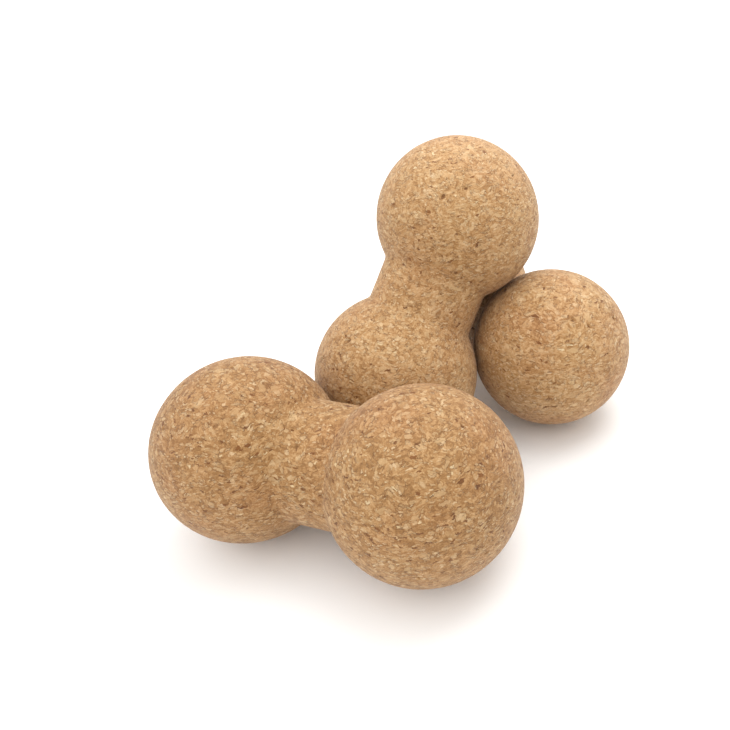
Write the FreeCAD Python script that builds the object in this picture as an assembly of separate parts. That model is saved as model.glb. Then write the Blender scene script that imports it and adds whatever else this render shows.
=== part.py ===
import FreeCAD, Part

import math
import os

# A set of three loose massage peanuts, two lying and one standing between them and leaning
# back. Each is one block of agglomerated cork, turned to two balls with a straight neck
# between them. Millimetres, +Z up, the floor at z = 0. The origin is on the floor, at the
# middle of the space that the three take up.

# Sizes of a peanut. All three are the same.
ball_diameter = 65.0
neck_diameter = 42.5
neck_length = 17.3  # from one ball's corner with the neck to the other's
neck_fillet = 2.6  # radius of the hollow corner between a ball and the neck

# Places. The peanuts lean on each other, and a small gap stands in for each touch.
touch_gap = 0.3
front_offset = 2.4  # the front neck's middle is this far to the right of the standing ball
rear_bearing = 32.7  # degrees from +X to the near rear ball, seen from the standing ball
rear_opening = 9.3  # gap between the standing ball and the far rear ball

ball_radius = ball_diameter / 2
neck_radius = neck_diameter / 2
up = FreeCAD.Vector(0, 0, 1)

# A ball's centre, its corner with the neck and the foot of that corner on the axis make a
# right triangle, which gives the distance between a peanut's two ball centres.
ball_spacing = neck_length + 2 * math.sqrt(ball_radius**2 - neck_radius**2)

# A ball that lies in another peanut's waist touches the balls on both sides of it or, if the
# neck is thick, the neck. This is its distance from both of those balls' centres.
on_balls = ball_diameter + touch_gap
on_neck = math.hypot(ball_spacing / 2, ball_radius + neck_radius + touch_gap)
nest_spacing = max(on_balls, on_neck)


def level(distance, degrees):
    """A level vector of this length at an angle from +X, counted towards +Y."""
    angle = math.radians(degrees)
    return FreeCAD.Vector(distance * math.cos(angle), distance * math.sin(angle), 0)


def third_side_angle(side_a, side_b, opposite):
    """The angle in degrees between two sides of a triangle, by the cosine rule."""
    return math.degrees(math.acos((side_a**2 + side_b**2 - opposite**2) / (2 * side_a * side_b)))


# The standing ball and the two rear balls stand on the floor as a triangle, its three sides
# known: nest_spacing, ball_spacing and the far ball's distance.
standing_ball = ball_radius * up
near_rear_ball = standing_ball + level(nest_spacing, rear_bearing)
far_distance = ball_diameter + rear_opening
far_bearing = rear_bearing + third_side_angle(nest_spacing, far_distance, ball_spacing)
far_rear_ball = standing_ball + level(far_distance, far_bearing)

# The front peanut lies along X, nearer to the viewer, with the standing ball in its waist.
front_depth = math.sqrt(nest_spacing**2 - (ball_spacing / 2 - front_offset) ** 2)
front_middle = standing_ball + FreeCAD.Vector(front_offset, -front_depth, 0)
half_spacing = FreeCAD.Vector(ball_spacing / 2, 0, 0)
left_front_ball = front_middle - half_spacing
right_front_ball = front_middle + half_spacing

# The leaning peanut's top ball lies in the rear peanut's waist. It is on the circle round
# the rear neck that is nest_spacing from both rear balls, ball_spacing from the standing one.
rear_middle = (near_rear_ball + far_rear_ball) / 2
rear_axis = (far_rear_ball - near_rear_ball).normalize()
towards_standing = up.cross(rear_axis)
standing_distance = (standing_ball - rear_middle).dot(towards_standing)
standing_squared = (standing_ball - rear_middle).Length ** 2
circle_squared = nest_spacing**2 - (ball_spacing / 2) ** 2
overhang = (circle_squared + standing_squared - ball_spacing**2) / (2 * standing_distance)
rise = math.sqrt(circle_squared - overhang**2)
top_ball = rear_middle + overhang * towards_standing + rise * up

peanuts = {
    "front_peanut": (left_front_ball, right_front_ball),
    "leaning_peanut": (standing_ball, top_ball),
    "rear_peanut": (near_rear_ball, far_rear_ball),
}


def half_outline():
    """Half the outline of a peanut along +X, its first ball's centre at the origin.

    The arc of a ball runs from its pole to the hollow corner. The corner's arc has its centre
    neck_fillet outside both the ball and the neck, and the second half mirrors the first.
    """
    reach = ball_radius + neck_fillet
    corner_height = neck_radius + neck_fillet
    corner_along = math.sqrt(reach**2 - corner_height**2)
    meet = ball_radius / reach
    slant = math.sqrt(0.5)

    def point(x, height):
        return FreeCAD.Vector(x, 0, height)

    def mirrored(vector):
        return FreeCAD.Vector(ball_spacing - vector.x, 0, vector.z)

    pole = point(-ball_radius, 0)
    shoulder = point(-ball_radius * slant, ball_radius * slant)
    ball_end = point(corner_along * meet, corner_height * meet)
    neck_end = point(corner_along, neck_radius)
    down = (neck_end + ball_end) / 2 - point(corner_along, corner_height)
    corner_middle = point(corner_along, corner_height) + neck_fillet * down.normalize()

    edges = [
        Part.Arc(pole, shoulder, ball_end),
        Part.Arc(ball_end, corner_middle, neck_end),
        Part.LineSegment(neck_end, mirrored(neck_end)),
        Part.Arc(mirrored(neck_end), mirrored(corner_middle), mirrored(ball_end)),
        Part.Arc(mirrored(ball_end), mirrored(shoulder), mirrored(pole)),
        Part.LineSegment(mirrored(pole), pole),
    ]
    return Part.Wire([edge.toShape() for edge in edges])


def peanut(first_ball, second_ball):
    """A turned block: the half outline carried once round the line through both balls."""
    along_x = FreeCAD.Vector(1, 0, 0)
    solid = Part.Face(half_outline()).revolve(FreeCAD.Vector(), along_x, 360)
    turn = FreeCAD.Rotation(along_x, second_ball - first_ball)
    solid.Placement = FreeCAD.Placement(first_ball, turn)
    return solid


# Every outermost point of the set is on a ball, so the balls give its middle.
balls = [ball for pair in peanuts.values() for ball in pair]
middle_x = (min(ball.x for ball in balls) + max(ball.x for ball in balls)) / 2
middle_y = (min(ball.y for ball in balls) + max(ball.y for ball in balls)) / 2
to_origin = FreeCAD.Vector(-middle_x, -middle_y, 0)

os.makedirs("parts", exist_ok=True)
for node, (first_ball, second_ball) in peanuts.items():
    shape = peanut(first_ball + to_origin, second_ball + to_origin)
    shape.exportStep("parts/" + node + ".step")
    print(node, "ball centres", first_ball + to_origin, second_ball + to_origin)
    print(node, "valid", shape.isValid(), "volume", round(shape.Volume), "mm3")
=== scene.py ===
import math

import bpy
import numpy as np
from mathutils import Matrix, Vector


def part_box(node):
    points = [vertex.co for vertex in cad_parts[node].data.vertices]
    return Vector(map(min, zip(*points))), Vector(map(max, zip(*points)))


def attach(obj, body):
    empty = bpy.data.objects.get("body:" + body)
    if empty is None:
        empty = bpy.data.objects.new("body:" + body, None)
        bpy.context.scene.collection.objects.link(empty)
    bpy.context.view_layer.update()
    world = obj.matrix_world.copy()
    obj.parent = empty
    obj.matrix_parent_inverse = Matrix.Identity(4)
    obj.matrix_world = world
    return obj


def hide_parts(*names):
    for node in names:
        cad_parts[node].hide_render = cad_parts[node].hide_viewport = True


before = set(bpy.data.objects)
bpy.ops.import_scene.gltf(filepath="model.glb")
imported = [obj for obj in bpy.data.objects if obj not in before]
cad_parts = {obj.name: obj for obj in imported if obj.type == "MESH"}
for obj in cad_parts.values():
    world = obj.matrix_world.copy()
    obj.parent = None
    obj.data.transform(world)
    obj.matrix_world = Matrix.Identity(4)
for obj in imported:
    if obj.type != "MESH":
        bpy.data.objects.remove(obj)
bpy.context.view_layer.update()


# The view. One camera looks down on the set from the front right, a little nearer to the
# front peanut's right ball than to its left one, and leans over slightly. Its shift puts the
# set right of the middle of what it looks at.

camera_place = Vector((0.1015, -0.2196, 0.1866))
camera_heading = math.radians(20.9)
camera_dip = math.radians(31.45)
camera_lean = math.radians(3.4)

camera = bpy.data.objects.new("camera", bpy.data.cameras.new("camera"))
camera.data.sensor_width = 36
camera.data.lens = 34.58
camera.data.shift_x = -0.146
camera.data.shift_y = -0.020
camera.data.clip_start = 0.01
camera.data.clip_end = 20
turned = Matrix.Rotation(camera_heading, 4, "Z")
turned = turned @ Matrix.Rotation(math.radians(90) - camera_dip, 4, "X")
turned = turned @ Matrix.Rotation(-camera_lean, 4, "Z")
camera.matrix_world = Matrix.Translation(camera_place) @ turned
bpy.context.scene.collection.objects.link(camera)
bpy.context.scene.camera = camera


# The peanuts. Each is one block of agglomerated cork: granules pressed together with a
# binder, turned on a lathe to two balls and a straight neck, and sanded. The sanding leaves
# the granules almost level, and opens the voids between them as small pits.

# Sizes in metres. The balls and their spacing come from the front peanut's box, because it
# lies along X.
front_low, front_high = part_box("front_peanut")
ball_radius = (front_high[2] - front_low[2]) / 2
ball_spacing = front_high[0] - front_low[0] - 2 * ball_radius
neck_radius = 0.02125
neck_fillet = 0.0026

# Rows of points from pole to pole, and points round each row.
rows = 292
columns = 336


def outline(steps):
    """The turned outline as (along, out, slope): steps points from pole to pole, evenly spaced.

    along is measured from the peanut's middle and out from its axis. slope is the angle of the
    outward normal from the axis. A ball's arc of radius ball_radius runs from the pole to the
    hollow corner, whose arc of radius neck_fillet touches both the ball and the neck.
    """
    corner_out = neck_radius + neck_fillet
    corner_along = math.sqrt((ball_radius + neck_fillet) ** 2 - corner_out**2)
    meet = math.atan2(corner_out, corner_along)
    ball_arc = ball_radius * (math.pi - meet)
    corner_arc = neck_fillet * (math.pi / 2 - meet)
    half = ball_arc + corner_arc + ball_spacing / 2 - corner_along

    walked = np.linspace(0, 2 * half, steps)
    mirrored = walked > half
    walked = np.where(mirrored, 2 * half - walked, walked)
    on_ball = walked / ball_radius
    on_corner = meet + (walked - ball_arc) / neck_fillet
    on_neck = walked - ball_arc - corner_arc
    where = [walked <= ball_arc, walked <= ball_arc + corner_arc]
    along = np.select(
        where,
        [-ball_radius * np.cos(on_ball), corner_along - neck_fillet * np.cos(on_corner)],
        corner_along + on_neck,
    )
    out = np.select(
        where,
        [ball_radius * np.sin(on_ball), corner_out - neck_fillet * np.sin(on_corner)],
        neck_radius,
    )
    slope = np.select(where, [math.pi - on_ball, on_corner], math.pi / 2)
    along = along - ball_spacing / 2
    return np.where(mirrored, -along, along), out, np.where(mirrored, math.pi - slope, slope)


def scattered(cells, salt):
    """One number from 0 to 1 for each whole-number cell: its coordinates scrambled."""
    x, y, z = np.moveaxis(cells.astype(np.int64), -1, 0)
    mixed = (x * 73856093) ^ (y * 19349663) ^ (z * 83492791) ^ (salt * 2654435761)
    mixed = ((mixed ^ (mixed >> 13)) * 1274126177) & 0xFFFFFFFF
    mixed = ((mixed ^ (mixed >> 15)) * 2246822519) & 0xFFFFFFFF
    return ((mixed ^ (mixed >> 16)) & 0xFFFFFF) / 0x1000000


def unevenness(points, size, salt):
    """Smooth value noise from -1 to 1: random corners every size metres, blended between."""
    scaled = points / size
    base = np.floor(scaled)
    blend = scaled - base
    blend = blend * blend * (3 - 2 * blend)
    total = 0
    for corner in np.ndindex(2, 2, 2):
        weight = np.prod(np.where(np.array(corner) == 1, blend, 1 - blend), axis=-1)
        total = total + weight * scattered(base + corner, salt)
    return 2 * total - 1


def open_voids(points, normals, spacing, longest, share, salt):
    """How deep each point falls into the voids that the surface cuts open, in metres.

    A void is a long ellipsoid, at a random place and turn in each cell of a grid. The depth at
    a point is where the line straight in from it leaves the ellipsoid, from the quadratic
    a s^2 - 2 b s + c - 1 = 0 in the ellipsoid's own measure.
    """
    home = np.floor(points / spacing)
    ragged = 0.5 * unevenness(points, 0.0011, salt + 9)
    deepest = np.zeros(len(points))
    for offset in np.ndindex(3, 3, 3):
        cell = home + offset - 1
        place = np.stack([scattered(cell, salt + k) for k in range(3)], axis=-1)
        lean = np.stack([scattered(cell, salt + 3 + k) for k in range(3)], axis=-1) - 0.5
        lean /= np.linalg.norm(lean, axis=-1, keepdims=True) + 1e-9
        size = longest * (0.45 + 0.55 * scattered(cell, salt + 6))
        thin = size * (0.28 + 0.25 * scattered(cell, salt + 7))
        exists = scattered(cell, salt + 8) < share

        def measure(first, second):
            """The dot product of two directions after the ellipsoid is made a unit ball."""
            along = np.sum(first * lean, axis=-1) * np.sum(second * lean, axis=-1)
            return (np.sum(first * second, axis=-1) - along) / thin**2 + along / size**2

        away = points - (cell + place) * spacing
        a = measure(normals, normals)
        b = measure(normals, away)
        c = measure(away, away) + ragged
        inside = exists & (c < 1)
        root = np.sqrt(np.maximum(b * b - a * (c - 1), 0))
        rim = np.clip((1 - c) / 0.6, 0, 1)
        depth = np.where(inside, np.minimum((b + root) / a, thin) * rim * rim * (3 - 2 * rim), 0)
        deepest = np.maximum(deepest, depth)
    return deepest


# Two kinds of void, each with the width of the cell that may hold one, the length of the
# longest, and the share of cells that do. No pit is deeper than the limit.
void_kinds = ((0.0062, 0.0019, 0.4), (0.0042, 0.0014, 0.4))
void_depth_limit = 0.0006

# The sanding leaves low waves of two widths.
wave_depth = 0.00012
wave_widths = (0.009, 0.0032)


def turned_peanut(name, middle, axis, salt):
    """The outline carried once round the axis, then pressed in by sanding marks and voids.

    A point is middle + along * axis + out * (cos t * side + sin t * other), t the turn in
    radians. It moves inwards along its normal by the void's depth and the unevenness.
    """
    along, out, slope = outline(rows + 1)
    not_along_the_axis = (0.31, 0.17, 0.93)
    side = np.cross(axis, not_along_the_axis)
    side /= np.linalg.norm(side)
    other = np.cross(axis, side)
    turn = np.linspace(0, 2 * math.pi, columns, endpoint=False)
    round_about = np.cos(turn)[:, None] * side + np.sin(turn)[:, None] * other

    between_poles = slice(1, rows)
    slope = slope[between_poles, None, None]
    ring_along = along[between_poles, None, None]
    ring_out = out[between_poles, None, None]
    points = middle + ring_along * axis + ring_out * round_about
    normals = np.cos(slope) * axis + np.sin(slope) * round_about
    poles = middle + np.outer(along[[0, -1]], axis)
    pole_normals = np.array([-axis, axis])
    points = np.vstack([points.reshape(-1, 3), poles])
    normals = np.vstack([normals.reshape(-1, 3), pole_normals])

    voids = [
        open_voids(points, normals, spacing, longest, share, salt + 20 * k)
        for k, (spacing, longest, share) in enumerate(void_kinds)
    ]
    voids = np.minimum(np.max(voids, axis=0), void_depth_limit)
    waves = [unevenness(points, width, salt + 40 + k) for k, width in enumerate(wave_widths)]
    sanded = wave_depth * (0.5 + 0.25 * sum(waves))
    points = points - normals * (voids + sanded)[:, None]

    ring = np.arange(rows - 2)[:, None] * columns
    column = np.arange(columns)
    following = (column + 1) % columns
    quads = np.stack(
        [ring + column, ring + columns + column, ring + columns + following, ring + following],
        axis=-1,
    ).reshape(-1, 4)
    first_pole = (rows - 1) * columns
    last_ring = (rows - 2) * columns
    start_fan = np.stack([np.full(columns, first_pole), column, following], axis=-1)
    end_fan = np.stack(
        [np.full(columns, first_pole + 1), last_ring + following, last_ring + column], axis=-1
    )
    mesh = bpy.data.meshes.new(name)
    mesh.from_pydata(points, [], quads.tolist() + start_fan.tolist() + end_fan.tolist())
    mesh.polygons.foreach_set("use_smooth", np.ones(len(mesh.polygons), dtype=bool))
    # The depth of each void is kept as an attribute, for the painted shade in the pits.
    openness = mesh.attributes.new("void", "FLOAT", "POINT")
    openness.data.foreach_set("value", voids / void_depth_limit)
    return mesh


def linear(hex_colour):
    """An sRGB hex colour as linear red, green, blue and alpha."""
    parts = [int(hex_colour[k : k + 2], 16) / 255 for k in (1, 3, 5)]
    return tuple(p / 12.92 if p <= 0.04045 else ((p + 0.055) / 1.055) ** 2.4 for p in parts) + (1,)


def add_node(tree, kind, inputs, output=0, **settings):
    """Adds a node with its settings, each input set to a value or linked, and gives an output."""
    node = tree.nodes.new("ShaderNode" + kind)
    for key, value in settings.items():
        setattr(node, key, value)
    for key, value in inputs.items():
        if isinstance(value, bpy.types.NodeSocket):
            tree.links.new(value, node.inputs[key])
        else:
            node.inputs[key].default_value = value
    return node.outputs[output]


# The kinds of cork granule that lie in the ground of the block: large, middling and small ones
# and cream splinters, which are partly pale cork and partly painted glints. Each has the turn of
# its layers, how many times flatter than wide it was pressed, the width in metres of the cell that
# may hold one, the share of cells that do, its least and greatest radius as parts of the cell, its
# darkest and palest colour, and how strongly it and its torn outline show.
granule_kinds = (
    ((0.0, 0.0, 0.0), 1.9, 0.0036, 0.42, 0.22, 0.48, "#9F7849", "#CBAC80", 0.66, 0.36),
    ((0.9, 0.4, 0.0), 2.1, 0.0025, 0.48, 0.22, 0.48, "#9E7748", "#D2B58C", 0.70, 0.42),
    ((0.3, 1.1, 0.0), 2.4, 0.0018, 0.46, 0.20, 0.46, "#9D7647", "#D8BD96", 0.74, 0.40),
    # Cream splinters: partly pale cork and partly painted glints.
    ((0.2, 0.6, 0.0), 3.0, 0.0024, 0.12, 0.12, 0.34, "#CFB487", "#E0CAA2", 0.70, 0.34),
)


def agglomerated_cork(name, press_turn, rosiness, paleness_and_painted_light, coarseness, bark):
    """Sanded agglomerated cork. Granules of 1 to 4 mm, each its own tone of tan, pressed flat
    in bent layers, with broken dark joints, cream splinters that are partly painted glints, brown
    flecks of bark, and painted shade in the open voids.

    press_turn is the turn of the layers in radians, and coarseness the size of the granules
    beside the middle size. bark is the share of places for a fleck that have one.
    """
    material = bpy.data.materials.new(name)
    material.use_nodes = True
    tree = material.node_tree
    tree.nodes.clear()
    place = add_node(tree, "TexCoord", {}, "Object")

    # The layers bend over 7 mm, and the outlines of the granules are torn over 1.2 mm.
    bend = add_node(tree, "TexNoise", {"Vector": place, "Scale": 1 / 0.007, "Detail": 1.0}, "Color")
    reach = (0.005, 0.005, 0.005)
    bent = add_node(tree, "VectorMath", {0: bend, 1: reach, 2: place}, operation="MULTIPLY_ADD")
    tear = add_node(
        tree, "TexNoise", {"Vector": place, "Scale": 1 / 0.0012, "Detail": 3.0}, "Color"
    )
    reach = (0.0016, 0.0016, 0.0016)
    torn = add_node(tree, "VectorMath", {0: tear, 1: reach, 2: bent}, operation="MULTIPLY_ADD")
    layers = add_node(
        tree, "Mapping", {"Vector": bent, "Rotation": press_turn, "Scale": (1, 1, 3.2)}
    )

    # Patterns by size in millimetres: the fibres of a layer, crumbs, and the cells of the cork,
    # which are really 0.04 mm and are drawn ten times coarser so that they show. Wider ones
    # change the tone in clusters, break the joints into stretches, and redden whole regions.
    fibres = add_node(
        tree, "TexNoise", {"Vector": layers, "Scale": 1 / 0.0011, "Detail": 3.0, "Roughness": 0.7}
    )
    crumbs = add_node(
        tree, "TexNoise", {"Vector": torn, "Scale": 1 / 0.0008, "Detail": 3.0, "Roughness": 0.65}
    )
    cells = add_node(
        tree, "TexNoise", {"Vector": place, "Scale": 1 / 0.00042, "Detail": 2.0, "Roughness": 0.6}
    )
    clusters = add_node(tree, "TexNoise", {"Vector": place, "Scale": 1 / 0.0055, "Detail": 2.0})
    stretches = add_node(tree, "TexNoise", {"Vector": place, "Scale": 1 / 0.0021, "Detail": 2.0})
    regions = add_node(tree, "TexNoise", {"Vector": place, "Scale": 1 / 0.022, "Detail": 2.0})
    broken = add_node(
        tree, "MapRange", {0: stretches, 1: 0.46, 2: 0.60}, interpolation_type="SMOOTHSTEP"
    )

    # The ground: close-packed granules, each flat in tone, and the patterns across them.
    turned = add_node(
        tree, "Mapping", {"Vector": torn, "Rotation": press_turn, "Scale": (1, 1, 2.0)}
    )
    packed = add_node(tree, "TexVoronoi", {"Vector": turned, "Scale": 1 / 0.0021}, "Color")
    packed_tone = add_node(tree, "SeparateColor", {0: packed})
    fine = add_node(tree, "TexVoronoi", {"Vector": turned, "Scale": 1 / 0.0010}, "Color")
    fine_tone = add_node(tree, "SeparateColor", {0: fine})
    ground_parts = (
        (packed_tone, 0.32),
        (fine_tone, 0.36),
        (fibres, 0.65),
        (crumbs, 0.5),
        (cells, 0.6),
        (clusters, 0.35),
    )
    # The piece's paleness shifts the tone. It is partly the block's own tone and partly painted
    # light and shade: darker on the front peanut, paler on the rear ones.
    tone = 0.5 + paleness_and_painted_light - sum(weight for pattern, weight in ground_parts) / 2
    for pattern, weight in ground_parts:
        tone = add_node(tree, "Math", {0: pattern, 1: weight, 2: tone}, operation="MULTIPLY_ADD")
    colour = add_node(tree, "ValToRGB", {0: tone})
    stops = colour.node.color_ramp.elements
    stops[0].color = linear("#805A2F")
    stops[1].color = linear("#C9A980")
    for position, hex_colour in ((0.3, "#956C3E"), (0.5, "#A77F51"), (0.7, "#B69164")):
        stops.new(position).color = linear(hex_colour)

    # The joints of the ground, thin and broken.
    edges = add_node(
        tree, "TexVoronoi", {"Vector": turned, "Scale": 1 / 0.0021}, feature="DISTANCE_TO_EDGE"
    )
    joints = add_node(
        tree, "MapRange", {0: edges, 1: 0.0, 2: 0.10, 3: 1.0, 4: 0.0},
        interpolation_type="SMOOTHSTEP",
    )
    joints = add_node(tree, "Math", {0: joints, 1: broken}, operation="MULTIPLY")
    cover = add_node(tree, "Math", {0: joints, 1: 0.35}, operation="MULTIPLY")
    colour = add_node(
        tree, "Mix", {0: cover, 6: colour, 7: linear("#63390F")}, 2, data_type="RGBA"
    )

    # The height of the face: joints are sunk and granules stand up. Bark flecks go in last, over
    # the other kinds.
    height = add_node(tree, "Math", {0: joints, 1: -0.8}, operation="MULTIPLY")
    flecks = ((1.3, 0.2, 0.0), 2.7, 0.0030, bark, 0.15, 0.36, "#5A3006", "#7A4812", 0.86, 0.0)
    kinds = (*granule_kinds, flecks)
    for turn, flatness, width, share, least, greatest, dark, pale, strength, rim in kinds:
        both = tuple(a + b for a, b in zip(press_turn, turn))
        turned = add_node(
            tree, "Mapping", {"Vector": torn, "Rotation": both, "Scale": (1, 1, flatness)}
        )
        away = add_node(tree, "TexVoronoi", {"Vector": turned, "Scale": 1 / (width * coarseness)})
        chance = add_node(tree, "SeparateColor", {0: away.node.outputs["Color"]}).node.outputs
        picked = add_node(tree, "Math", {0: chance[0], 1: 1 - share}, operation="GREATER_THAN")
        radius = add_node(
            tree, "Math", {0: chance[1], 1: greatest - least, 2: least}, operation="MULTIPLY_ADD"
        )
        beyond = add_node(tree, "Math", {0: away, 1: radius}, operation="SUBTRACT")
        beyond = add_node(tree, "Math", {0: crumbs, 1: 0.35, 2: beyond}, operation="MULTIPLY_ADD")
        inside = add_node(
            tree, "MapRange", {0: beyond, 1: 0.14, 2: 0.19, 3: strength, 4: 0.0},
            interpolation_type="SMOOTHSTEP",
        )
        inside = add_node(tree, "Math", {0: inside, 1: picked}, operation="MULTIPLY")

        own_tone = chance[2]
        for pattern, weight in ((fibres, 0.45), (cells, 0.6)):
            own_tone = add_node(
                tree, "Math", {0: pattern, 1: weight, 2: own_tone}, operation="MULTIPLY_ADD"
            )
        own_tone = add_node(
            tree, "MapRange", {0: own_tone, 1: 0.2 - paleness_and_painted_light, 2: 1.85 - paleness_and_painted_light}
        )
        granule = add_node(
            tree, "Mix", {0: own_tone, 6: linear(dark), 7: linear(pale)}, 2, data_type="RGBA"
        )
        if rim:
            from_edge = add_node(tree, "Math", {0: beyond, 1: 0.20}, operation="SUBTRACT")
            from_edge = add_node(tree, "Math", {0: from_edge}, operation="ABSOLUTE")
            torn_edge = add_node(
                tree, "MapRange", {0: from_edge, 1: 0.0, 2: 0.09, 3: rim, 4: 0.0},
                interpolation_type="SMOOTHSTEP",
            )
            torn_edge = add_node(tree, "Math", {0: torn_edge, 1: broken}, operation="MULTIPLY")
            torn_edge = add_node(tree, "Math", {0: torn_edge, 1: picked}, operation="MULTIPLY")
            colour = add_node(
                tree, "Mix", {0: torn_edge, 6: colour, 7: linear("#5F350B")}, 2, data_type="RGBA"
            )
            height = add_node(
                tree, "Math", {0: torn_edge, 1: -0.7, 2: height}, operation="MULTIPLY_ADD"
            )
        colour = add_node(tree, "Mix", {0: inside, 6: colour, 7: granule}, 2, data_type="RGBA")
        height = add_node(tree, "Math", {0: inside, 1: 0.5, 2: height}, operation="MULTIPLY_ADD")

    # Some regions of a block are rosier than the rest.
    rosy = add_node(
        tree, "MapRange", {0: regions, 1: 0.40, 2: 0.70, 4: rosiness},
        interpolation_type="SMOOTHSTEP",
    )
    colour = add_node(
        tree, "Mix", {0: rosy, 6: colour, 7: linear("#E6C0AA")}, 2,
        data_type="RGBA", blend_type="MULTIPLY",
    )

    # Painted shade in the open voids: the colour darkens the deeper a pit goes, with crumbling
    # sides.
    depth = add_node(tree, "Attribute", {}, "Fac", attribute_name="void")
    depth = add_node(tree, "Math", {0: crumbs, 1: 2.0, 2: depth}, operation="MULTIPLY_ADD")
    painted_pit_shade = add_node(
        tree, "MapRange", {0: depth, 1: 1.40, 2: 1.95, 4: 0.75}, interpolation_type="SMOOTHSTEP"
    )
    colour = add_node(tree, "Mix", {0: painted_pit_shade, 6: colour, 7: linear("#633606")}, 2, data_type="RGBA")

    height = add_node(tree, "Math", {0: fibres, 1: 0.6, 2: height}, operation="MULTIPLY_ADD")
    height = add_node(tree, "Math", {0: cells, 1: 0.5, 2: height}, operation="MULTIPLY_ADD")
    face = add_node(tree, "Bump", {"Height": height, "Strength": 0.8, "Distance": 0.00018})
    skin = add_node(
        tree,
        "BsdfPrincipled",
        {
            "Base Color": colour,
            "Roughness": 0.68,
            "IOR": 1.45,
            "Specular IOR Level": 0.4,
            "Normal": face,
            "Sheen Weight": 0.09,
            "Sheen Roughness": 0.5,
        },
    )
    end = tree.nodes.new("ShaderNodeOutputMaterial")
    tree.links.new(skin, end.inputs["Surface"])
    return material


# The three peanuts. After the name: which corner of its box each peanut points to, -1 for the
# low side and 1 for the high side of X, Y and Z and 0 for a level axis; the turn of its pressed
# layers in radians; the number that scatters its voids; how rosy its regions are; how much
# paler than the middle tone it is, partly its own tone and partly painted light and shade for how
# the lamps fall on it, darker at the front and paler at the back; the size of its granules beside
# the middle size; and how often it has a fleck of bark.
set_of_three = (
    ("front", (1, 0, 0), (0.4, 0.9, 0.2), 11, 0.25, -0.12, 1.0, 0.24),
    ("leaning", (1, 1, 1), (1.2, 0.3, 2.0), 37, 0.2, 0.02, 0.95, 0.10),
    ("rear", (-1, 1, 0), (2.1, 0.7, 1.1), 59, 0.3, 0.04, 1.25, 0.15),
)
for body, way, press_turn, salt, *look in set_of_three:
    node = body + "_peanut"
    low, high = (np.array(corner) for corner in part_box(node))
    lying = (high - low - 2 * ball_radius) * way
    block = turned_peanut(node + "_cork", (low + high) / 2, lying / np.linalg.norm(lying), salt)
    block.materials.append(agglomerated_cork("agglomerated_cork_" + body, press_turn, *look))
    piece = bpy.data.objects.new(node + "_cork", block)
    bpy.context.scene.collection.objects.link(piece)
    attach(piece, body)
    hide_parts(node)


# The room. A white matt board runs on past the view in white surroundings. A soft square lamp
# hangs over the back of the set, and a broad light like a window's comes from the front left.

floor_half_width = 6.0
floor_mesh = bpy.data.meshes.new("floor")
round_the_edge = ((-1, -1), (1, -1), (1, 1), (-1, 1))
floor_corners = [(x * floor_half_width, y * floor_half_width, 0) for x, y in round_the_edge]
floor_mesh.from_pydata(floor_corners, [], [(0, 1, 2, 3)])
board = bpy.data.materials.new("white_matt_board")
board.use_nodes = True
board_skin = board.node_tree.nodes["Principled BSDF"]
board_skin.inputs["Base Color"].default_value = linear("#F8F8F7")
board_skin.inputs["Roughness"].default_value = 0.9
board_skin.inputs["Specular IOR Level"].default_value = 0.1
floor_mesh.materials.append(board)
floor = bpy.data.objects.new("floor", floor_mesh)
bpy.context.scene.collection.objects.link(floor)

surround = bpy.data.worlds.new("white_surround")
surround.use_nodes = True
surround.node_tree.nodes["Background"].inputs["Color"].default_value = (1, 1, 1, 1)
surround.node_tree.nodes["Background"].inputs["Strength"].default_value = 1.0
bpy.context.scene.world = surround

overhead = bpy.data.lights.new("overhead_lamp", "AREA")
overhead.size = 0.35
overhead.energy = 0.95
window = bpy.data.lights.new("window_light", "SUN")
window.angle = math.radians(90)
window.energy = 1.29
for light, place, target in (
    (overhead, (0.05, 0.12, 0.34), (0, 0, 0.04)),
    (window, (-0.41, -0.6, 1.0), (0, 0, 0)),
):
    lamp = bpy.data.objects.new(light.name, light)
    lamp.location = place
    lamp.rotation_euler = (Vector(place) - Vector(target)).to_track_quat("Z", "Y").to_euler()
    bpy.context.scene.collection.objects.link(lamp)

bpy.context.scene.view_settings.view_transform = "Standard"
